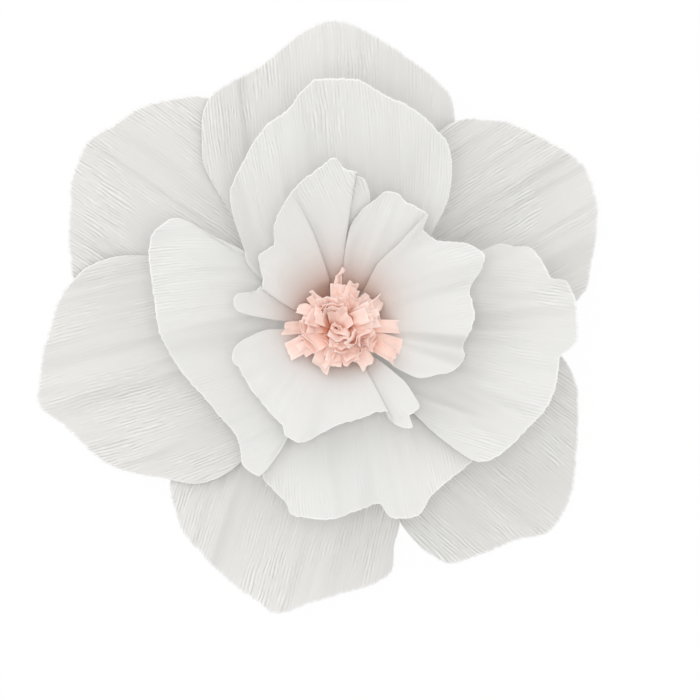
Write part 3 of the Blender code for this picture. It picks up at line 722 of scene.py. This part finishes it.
def add_petal(node, layer, sector, laps, rim, seed, folds=()):
    """One petal as a thin closed sheet of crepe paper, from its cut tail to its rim.

    Its foot fills the sector, in degrees. Its first and last edge lie over (1), under (-1) or
    level with (0) their neighbours. The rim's points are an angle in degrees and a share of the
    layer's reach.
    """
    rng = np.random.default_rng(seed)
    foot, reach = layer["section"][0][0], layer["section"][0][-1]
    rim_angle, rim_radius = torn_rim(rng, rim, reach)
    columns = len(rim_angle)
    blade_share = np.append(np.linspace(0.0, ROW_INSIDE_RIM, BLADE_ROWS)[1:], 1.0)[:, None]
    radius, height, length, out, up = blade_points(layer["section"], rim_radius, blade_share)

    # outline: the pressed foot fans out to the rim's points
    across = np.linspace(0.0, 1.0, columns)[None, :]
    by_angle = ((rim_angle - rim_angle[0]) / (rim_angle[-1] - rim_angle[0]))[None, :]
    side = 2.0 * by_angle - 1.0
    gap = EDGE_GAP / foot
    sector_start, sector_end = math.radians(sector[0]) + gap, math.radians(sector[1]) - gap
    foot_angle = sector_start + (sector_end - sector_start) * by_angle
    angle = foot_angle + (rim_angle[None, :] - foot_angle) * eased(radius, FAN_START, FAN_END)

    # laps, cupping and creases
    lap = np.where(side < 0, laps[0], laps[1])
    raised = lap * layer["lap"] * eased(radius, foot, LIFT_END)
    raised += np.where(lap >= 0, layer["cup"], 0.0) * eased(radius, FAN_START, reach)
    raised *= side * side
    raised += crease_height(layer["creases"], angle, radius, reach)

    # place on the flat sheet: the grain runs along the petal and fans in towards the gathers
    from_middle = angle - (rim_angle[0] + rim_angle[-1]) / 2
    sheet_across = from_middle * (radius**3 + GRAIN_BEND**3) ** (1 / 3)

    # slow waves round the layer, and streaks that the thumbs left along the petal
    swell = np.sin(SWELLS_ROUND * angle + SWELL_SLANT * radius + layer["phase"])
    raised += SWELL_HEIGHT * eased(radius, SWELL_START, reach) * swell
    bands = streaks(rng, sheet_across, length, layer["band"]) * (1.0 - side**4)
    raised += layer["wave"] * eased(radius, STREAK_START, STREAK_END) * bands

    turned, lifted_over = folded_over(angle, radius, folds)
    angle = angle + turned
    raised += lifted_over

    # the rim has lost its stretch: it curls a little and waves
    curl = soft_noise(rng, 2, columns, 1, CURLS)[0][None, :]
    raised += eased(blade_share, CURL_START, 1.0) * layer["curl"] * (curl - CURL_DROOP)

    # gathers: narrow folds at the thread that open out into the blade
    wander = soft_noise(rng, len(blade_share), columns, 5, 9) * 0.5
    gathers = np.sin(2 * math.pi * layer["folds"] * across + wander)
    opened = eased(radius, foot, GATHER_END)
    gather_depth = GATHER_DEPTH + GATHER_SWELL * eased(radius, foot, GATHER_FULL)
    lifted = gathers * gather_depth * (1.0 - opened) ** 1.5

    # ripples of the crepe, flattened where the sheet was stretched
    flat_share, rim_share, flat_end, rim_start = layer["crinkle"]
    strength = flat_share + (rim_share - flat_share) * eased(radius / reach, flat_end, rim_start)
    ripples = uneven_sheet(rng, sheet_across, length, RIPPLE_WIDTH, RIPPLE_LENGTH)
    lifted += layer["ridge"] * strength * ripples

    # tail: the same folds go on under the thread and flare out to the cut end
    tail_heights = np.array(TAIL_HEIGHTS)[:, None]
    tail_ones = np.ones((len(TAIL_HEIGHTS), columns))
    below_thread = 1.0 - tail_heights / STUB_THREAD
    tail_depth = GATHER_DEPTH + TAIL_SWELL * np.clip(below_thread, 0.0, 1.0)
    tail_radius = foot + layer["tail_spread"] * eased(below_thread, 0.0, 1.15)
    tail_radius = tail_radius - gathers[:1] * tail_depth
    ragged = rng.uniform(0.0, TAIL_RAGGED, columns)

    def points(shift):
        """The sheet's points, moved along its face direction."""
        blade_radius = radius + out * (lifted + shift)
        blade_height = height + raised + up * (lifted + shift)
        all_radius = np.vstack([tail_radius * tail_ones - shift, blade_radius])
        all_height = np.vstack([tail_heights * tail_ones, blade_height])
        all_height[0] += ragged
        all_angle = np.vstack([foot_angle * tail_ones, angle])
        return np.stack(
            [all_radius * np.cos(all_angle), all_radius * np.sin(all_angle), all_height], axis=-1
        )

    # each petal was cut from a place of its own on the roll of paper
    paper = np.stack(
        [
            np.vstack([sheet_across[0] * tail_ones, sheet_across]) + seed,
            np.vstack([tail_heights * tail_ones, length]),
            np.vstack([tail_ones, strength]),
        ],
        axis=-1,
    )
    patches = uneven_sheet(rng, sheet_across, length, WARM_PATCH_WIDTH, WARM_PATCH_LENGTH)
    warmth = layer["tint"] * (1.0 + 0.7 * patches)
    # painted warm shade round the fringe, with the paper's own warm patches added
    warm_shade_and_tint = np.vstack([0.0 * tail_ones, painted_fringe_shade(layer, angle, radius) + warmth])
    # a painted highlight along the rim's cut edge
    edge_highlight = np.vstack([0.0 * tail_ones, (blade_share == 1.0) * np.ones_like(radius)])
    sheet = (points(SHEET / 2), points(-SHEET / 2), paper, warm_shade_and_tint, edge_highlight)
    piece = bpy.data.objects.new(node + "_crepe", crepe_mesh(node + "_crepe", [sheet], white_crepe))
    bpy.context.scene.collection.objects.link(piece)
    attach(piece, "root")
    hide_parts(node)


INNER = {
    "section": section_table(
        foot=0.0071, reach=0.083, tip=0.054, rise=0.028, shoulder_reach=0.046, shoulder=0.022
    ),
    "lap": 0.002,  # how far an edge lies over or under its neighbour
    "cup": 0.004,  # how far a petal's sides stand above its middle
    "curl": 0.0014,  # how far a rim curls down or up
    "band": 0.016,  # width and height of the streaks
    "wave": 0.0010,
    "phase": 0.4,  # where the slow waves start
    "folds": 12,  # gathers in one petal
    "ridge": 0.00018,  # height of the ripples
    # how much crinkle is left inside and at the rim, and the shares of the reach between them
    "crinkle": (0.03, 0.39, 0.62, 0.88),
    "tail_spread": TAIL_SPREAD,
    "warm_shade_and_tint": 1.05,  # strength and reach of the warm shade and pink bounce light painted round the fringe
    "warm_shade_reach": 0.0135,
    "tint": 0.0,  # how warm the rest of the sheet is, in patches
    # neighbouring petals share these: angle in degrees, half of the width in degrees, height
    "creases": [
        (84, 7, 0.0025), (104, 8, -0.0030), (118, 8, 0.0020), (159, 7, -0.0030), (52, 8, 0.0015),
        (17, 9, -0.0030), (0, 7, 0.0020), (348, 8, -0.0130), (204, 9, 0.0020), (228, 9, -0.0025),
        (250, 9, 0.0020), (276, 9, -0.0020), (299, 6, -0.0025),
    ],
}

add_petal("inner_petal_top_left", INNER, (89, 179), (-1, 0), [
    (73, 0.55), (76.4, 0.77), (79.5, 0.86), (84, 0.91), (88, 0.94), (92, 1.00), (96.5, 0.95),
    (105, 0.88), (112, 0.82), (118, 0.77), (124, 0.71), (130, 0.63), (138, 0.635), (145, 0.57),
    (153, 0.51), (158, 0.55), (164.5, 0.66), (170, 0.64), (172.5, 0.59), (175, 0.36),
], 21, folds=[
    (0.018, 103.5, 0.072, 109.0, 1, 0.0030, 0.025),
    (0.018, 88.5, 0.080, 83.5, 1, 0.0030, 0.004),
    (0.018, 161.0, 0.048, 152.5, -1, 0.0030, 0.002),
])
add_petal("inner_petal_top_right", INNER, (58, 89), (-1, 1), [
    (49, 0.60), (52, 0.85), (57, 0.85), (62, 0.84), (66, 0.86), (70, 0.85), (75, 0.77),
    (80, 0.69), (84.5, 0.56), (87, 0.36),
], 22)
add_petal("inner_petal_right", INNER, (322, 418), (0, 1), [
    (323, 0.40), (326, 0.55), (333, 0.65), (337, 0.72), (346, 0.775), (351, 0.75), (361, 0.79),
    (366, 0.80), (374, 0.79), (377, 0.82), (382, 0.915), (386.5, 0.96), (392, 0.915),
    (398, 0.81), (403, 0.76), (408.5, 0.755), (411.5, 0.84), (414.5, 0.60), (419, 0.44),
], 23)
add_petal("inner_petal_bottom", INNER, (181, 320), (0, 0), [
    (183, 0.44), (186.5, 0.54), (192, 0.645), (198, 0.67), (203, 0.65), (221, 0.65), (231, 0.665),
    (240, 0.685), (244, 0.73), (249.5, 0.735), (259, 0.66), (269.5, 0.60), (281, 0.565),
    (292, 0.555), (296, 0.57), (300.5, 0.69), (305.5, 0.74), (308, 0.675), (314, 0.685),
    (317, 0.60), (319.5, 0.50),
], 24, folds=[
    (0.018, 299.5, 0.056, 298.5, -1, 0.0028, 0.002),
])


# Middle petals, four larger ones, deeper cupped.
# The same white crepe paper, gathered round the inner petals. They are stretched over more of
# their length, so only the rim keeps its ridges, and their edges lie over one another.
MIDDLE = {
    "section": section_table(
        foot=0.0090, reach=0.123, tip=0.034, rise=0.016, shoulder_reach=0.062, shoulder=0.006
    ),
    "lap": 0.0025,
    "cup": 0.006,
    "curl": 0.0020,
    "band": 0.014,
    "wave": 0.0022,
    "phase": 2.1,
    "folds": 14,
    "ridge": 0.00022,
    "crinkle": (0.10, 0.60, 0.50, 0.90),
    "tail_spread": 2 * TAIL_SPREAD,
    "warm_shade_and_tint": 0.0,
    "warm_shade_reach": 0.010,
    "tint": 0.012,
    "creases": [
        (60, 9, -0.0020), (92, 14, -0.0030), (122, 8, -0.0020), (150, 9, 0.0020), (186, 9, -0.0020),
        (222, 8, -0.0020), (262, 9, 0.0020), (283, 7, -0.0030), (304, 9, 0.0020), (328, 5, -0.0030),
        (338, 5, 0.0030), (352, 5, 0.0035), (2, 4, -0.0035), (12, 5, 0.0030), (22, 5, -0.0020),
    ],
}

add_petal("middle_petal_top", MIDDLE, (38, 137), (0, 1), [
    (43, 0.46), (46, 0.56), (48.5, 0.645), (52, 0.73), (55, 0.79), (61, 0.87), (73, 0.935),
    (80.5, 0.955), (88, 1.00), (95, 1.00), (99, 0.955), (104, 0.89), (110, 0.865), (121, 0.77),
    (129.5, 0.705), (133, 0.645), (141, 0.505), (146, 0.46), (149.5, 0.36),
], 31)
add_petal("middle_petal_left", MIDDLE, (137, 240), (-1, 1), [
    (139, 0.42), (142, 0.50), (144.5, 0.63), (146, 0.78), (154, 0.84), (158.5, 0.825), (168, 0.77),
    (174, 0.75), (182.5, 0.725), (197.5, 0.665), (211, 0.615), (224, 0.605), (229, 0.62),
    (237, 0.695), (241, 0.695), (244, 0.60), (246, 0.42),
], 32)
add_petal("middle_petal_bottom", MIDDLE, (240, 315), (-1, -1), [
    (238, 0.45), (241, 0.63), (243, 0.685), (248, 0.72), (253, 0.75), (256, 0.79), (264, 0.79),
    (273.5, 0.755), (282, 0.735), (285, 0.81), (292, 0.83), (299, 0.78), (306, 0.77), (315, 0.77),
    (318, 0.62), (320, 0.45),
], 33)
add_petal("middle_petal_right", MIDDLE, (315, 390), (1, 0), [
    (310, 0.45), (312, 0.62), (315, 0.77), (320, 0.825), (330, 0.855), (337, 0.885), (342.5, 0.90),
    (351, 0.895), (357, 0.955), (366, 0.95), (371, 0.93), (373, 0.87), (382, 0.84), (385, 0.76),
    (387.5, 0.71), (388.5, 0.50),
], 34)


# Outer petals, six large ones, nearly flat.
# They are the last layer under the thread and are hardly stretched, so the crepe ridges show
# over most of their length. They sag towards the table and turn up a little at the tips.
OUTER_FOOT = 0.0109
OUTER = {
    "section": section_table(
        foot=OUTER_FOOT, reach=0.158, tip=-0.014, rise=0.009, shoulder_reach=0.080, shoulder=-0.021
    ),
    "lap": 0.003,
    "cup": 0.005,
    "curl": 0.0024,
    "band": 0.013,
    "wave": 0.0026,
    "phase": 4.0,
    "folds": 13,
    "ridge": 0.00030,
    "crinkle": (0.44, 0.80, 0.35, 0.80),
    "tail_spread": 3 * TAIL_SPREAD,
    "warm_shade_and_tint": 0.0,
    "warm_shade_reach": 0.010,
    "tint": 0.045,
    "creases": [
        (30, 12, -0.0048), (48, 8, 0.0032), (78, 9, 0.0020), (94, 9, -0.0020), (112, 9, 0.0020),
        (146, 12, -0.0048), (184, 10, 0.0040), (204, 10, -0.0040), (246, 12, -0.0048),
        (268, 9, 0.0032), (302, 10, 0.0032), (322, 12, -0.0048), (345, 10, 0.0040),
    ],
}

add_petal("outer_petal_top", OUTER, (61, 125), (-1, 1), [
    (52, 0.50), (55, 0.68), (60.5, 0.745), (65, 0.82), (77, 0.89), (84, 0.94), (91.5, 0.975),
    (98, 0.94), (107, 0.87), (119.5, 0.835), (124, 0.785), (130.5, 0.66), (134, 0.50),
], 41)
add_petal("outer_petal_upper_left", OUTER, (125, 167), (-1, -1), [
    (112, 0.50), (115, 0.72), (119.5, 0.835), (126, 0.895), (132, 0.94), (139, 0.975), (144, 1.00),
    (150.5, 0.98), (155.5, 0.945), (165.5, 0.89), (171, 0.86), (176, 0.75), (179, 0.50),
], 42)
add_petal("outer_petal_left", OUTER, (167, 228), (1, 1), [
    (157, 0.50), (160, 0.66), (167.5, 0.835), (174, 0.895), (181, 0.93), (187, 0.96), (194.5, 0.99),
    (199, 0.94), (209.5, 0.875), (216, 0.805), (222, 0.735), (227, 0.685), (231.5, 0.61), (235, 0.50),
], 43)
add_petal("outer_petal_bottom_left", OUTER, (228, 287), (-1, 1), [
    (217, 0.50), (220, 0.68), (224, 0.75), (229, 0.80), (241, 0.865), (253, 0.915), (257, 0.935),
    (263, 0.895), (270, 0.85), (276.5, 0.83), (282, 0.795), (284, 0.72), (287, 0.65), (291, 0.50),
], 44)
add_petal("outer_petal_bottom_right", OUTER, (287, 358), (-1, 1), [
    (283, 0.50), (287, 0.65), (289, 0.72), (292, 0.79), (295, 0.835), (300.5, 0.85), (309, 0.88),
    (316, 0.935), (321, 0.925), (331.5, 0.855), (341, 0.80), (349.5, 0.745), (354, 0.68), (358, 0.50),
], 45)
add_petal("outer_petal_upper_right", OUTER, (358, 421), (-1, 1), [
    (354, 0.50), (359, 0.65), (365, 0.74), (369.5, 0.80), (379.5, 0.865), (386, 0.91), (392.5, 0.93),
    (401, 0.89), (409.5, 0.845), (413.5, 0.82), (419, 0.77), (423, 0.69), (427, 0.50),
], 46)


# Binding thread.
# Soft white cotton of 1.1 mm, four turns pulled tight round the folds of the outer petals. The
# flower hides it, so the twist of its plies is left out.
THREAD_DIAMETER = 0.0011
THREAD_TURNS = 4
PRESSED_FOLDS = 0.0008  # thickness of the outer petals' folds outside their foot radius
THREAD_GAP = 0.0003
THREAD_LINE_RADIUS = OUTER_FOOT + PRESSED_FOLDS + THREAD_GAP + THREAD_DIAMETER / 2
FUZZ_MM = 0.2  # cotton fibres are 0.02 mm, too fine to show, and are drawn ten times as coarse

# spun cotton: dull and slightly cream beside the paper, with a soft fuzz
white_thread = bpy.data.materials.new("white_cotton_thread")
white_thread.use_nodes = True
tree = white_thread.node_tree
shader = tree.nodes["Principled BSDF"]
shader.inputs["Base Color"].default_value = linear("#F0EFEC")
shader.inputs["Roughness"].default_value = 0.85
place = add_node(tree, "ShaderNodeTexCoord")
fuzz = add_node(
    tree,
    "ShaderNodeTexNoise",
    {"Vector": place.outputs["Object"], "Scale": 1000 / FUZZ_MM, "Detail": 2.0},
)
bump = add_node(tree, "ShaderNodeBump", {"Height": fuzz, "Distance": 0.00008})
tree.links.new(bump.outputs["Normal"], shader.inputs["Normal"])

# the thread climbs by its own diameter in each turn
thread_sizes = {
    "Turns": float(THREAD_TURNS),
    "Line Radius": THREAD_LINE_RADIUS,
    "Thread Diameter": THREAD_DIAMETER,
    "Lower Edge": STUB_THREAD,
}
thread_tree, given = sized_tree("wound_thread", thread_sizes)
climb_turns = add_node(
    thread_tree, "ShaderNodeMath", {0: given.outputs["Turns"], 1: 1.0}, operation="SUBTRACT"
)
climb = add_node(
    thread_tree,
    "ShaderNodeMath",
    {0: climb_turns, 1: given.outputs["Thread Diameter"]},
    operation="MULTIPLY",
)
helix = add_node(
    thread_tree,
    "GeometryNodeCurveSpiral",
    {
        "Resolution": 72,
        "Rotations": given.outputs["Turns"],
        "Start Radius": given.outputs["Line Radius"],
        "End Radius": given.outputs["Line Radius"],
        "Height": climb,
    },
)
half_thread = add_node(
    thread_tree, "ShaderNodeMath", {0: given.outputs["Thread Diameter"], 1: 0.5}, operation="MULTIPLY"
)
start_height = add_node(
    thread_tree, "ShaderNodeMath", {0: given.outputs["Lower Edge"], 1: half_thread}, operation="ADD"
)
lift = add_node(thread_tree, "ShaderNodeCombineXYZ", {"Z": start_height})
helix_placed = add_node(thread_tree, "GeometryNodeTransform", {"Geometry": helix, "Translation": lift})
section = add_node(
    thread_tree,
    "GeometryNodeCurvePrimitiveCircle",
    {"Resolution": 12, "Radius": half_thread},
    mode="RADIUS",
)
wound = add_node(
    thread_tree,
    "GeometryNodeCurveToMesh",
    {"Curve": helix_placed, "Profile Curve": section, "Fill Caps": True},
)
smooth = add_node(thread_tree, "GeometryNodeSetShadeSmooth", {"Geometry": wound})
end_tree(thread_tree, smooth, white_thread)

thread_start = bpy.data.meshes.new("thread_start")
thread = made_by_nodes("wound_cotton_thread", thread_start, thread_tree, thread_sizes)
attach(thread, "root")
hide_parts("binding_thread")


# Studio: a white floor that the camera sees as paper white, with a faint shadow, a large soft
# lamp from the upper left and light from all round, and a long lens straight above the flower.
CAMERA_HEIGHT = 3.0
PICTURE_WIDTH = 0.350  # what 700 pixels span, 0.5 mm for each
PICTURE_CENTRE = (0.005, -0.012)
FLOWER_MIDDLE_HEIGHT = 0.035
FLOOR_HALF = 4.0
FLOOR_GLOW = 0.96  # share of the floor that is plain white; the rest takes the faint shadow
WHITE = (1.0, 1.0, 1.0, 1.0)
LIGHT_ALL_ROUND = 0.88

floor_corners = [
    (x * FLOOR_HALF, y * FLOOR_HALF, 0) for x, y in ((-1, -1), (1, -1), (1, 1), (-1, 1))
]
floor_mesh = bpy.data.meshes.new("floor")
floor_mesh.from_pydata(floor_corners, [], [(0, 1, 2, 3)])
floor = bpy.data.objects.new("floor", floor_mesh)
bpy.context.scene.collection.objects.link(floor)
floor_paint = bpy.data.materials.new("white_floor")
floor_paint.use_nodes = True
tree = floor_paint.node_tree
tree.nodes.clear()
rays = add_node(tree, "ShaderNodeLightPath")
seen = rays.outputs["Is Camera Ray"]
for ray_kind in ("Is Glossy Ray", "Is Transmission Ray"):
    seen = add_node(tree, "ShaderNodeMath", {0: seen, 1: rays.outputs[ray_kind]}, operation="MAXIMUM")
# light that the paper has scattered meets the floor as it is, with the flower's shadow on it
not_scattered = add_node(
    tree,
    "ShaderNodeMath",
    {0: FLOOR_GLOW, 1: rays.outputs["Is Diffuse Ray"]},
    operation="SUBTRACT",
    use_clamp=True,
)
glow_share = add_node(tree, "ShaderNodeMath", {0: seen, 1: not_scattered}, operation="MULTIPLY")
matt = add_node(tree, "ShaderNodeBsdfDiffuse", {"Color": linear("#F6F6F5")})
glow = add_node(tree, "ShaderNodeEmission", {"Color": WHITE, "Strength": 1.0})
mixed = add_node(tree, "ShaderNodeMixShader", {0: glow_share, 1: matt, 2: glow})
add_node(tree, "ShaderNodeOutputMaterial", {"Surface": mixed})
floor_mesh.materials.append(floor_paint)

world = bpy.data.worlds.new("studio")
bpy.context.scene.world = world
world.use_nodes = True
tree = world.node_tree
tree.nodes.clear()
rays = add_node(tree, "ShaderNodeLightPath")
strength = add_node(
    tree,
    "ShaderNodeMapRange",
    {"Value": rays.outputs["Is Camera Ray"], "To Min": LIGHT_ALL_ROUND, "To Max": 1.0},
)
sky = add_node(tree, "ShaderNodeBackground", {"Color": WHITE, "Strength": strength})
add_node(tree, "ShaderNodeOutputWorld", {"Surface": sky})


def add_lamp(name, place, size, power):
    """A square soft lamp aimed at the middle of the flower."""
    light = bpy.data.lights.new(name, "AREA")
    light.shape = "SQUARE"
    light.size = size
    light.energy = power
    lamp = bpy.data.objects.new(name, light)
    bpy.context.scene.collection.objects.link(lamp)
    lamp.location = place
    lamp.rotation_mode = "QUATERNION"
    towards_flower = Vector((0.0, 0.0, FLOWER_MIDDLE_HEIGHT)) - Vector(place)
    lamp.rotation_quaternion = towards_flower.to_track_quat("-Z", "Y")


add_lamp("window", (-0.9, 1.0, 1.2), 1.4, 5.0)
add_lamp("softbox", (0.0, 0.0, 1.9), 0.8, 9.5)

camera_data = bpy.data.cameras.new("camera")
camera = bpy.data.objects.new("camera", camera_data)
bpy.context.scene.collection.objects.link(camera)
camera.location = (*PICTURE_CENTRE, CAMERA_HEIGHT)
camera_data.lens = camera_data.sensor_width * (CAMERA_HEIGHT - FLOWER_MIDDLE_HEIGHT) / PICTURE_WIDTH
camera_data.clip_end = 20.0
bpy.context.scene.camera = camera
bpy.context.scene.view_settings.view_transform = "Standard"
# light goes back and forth between the pale sheets many times before it fades
bpy.context.scene.cycles.max_bounces = 16
bpy.context.scene.cycles.diffuse_bounces = 12
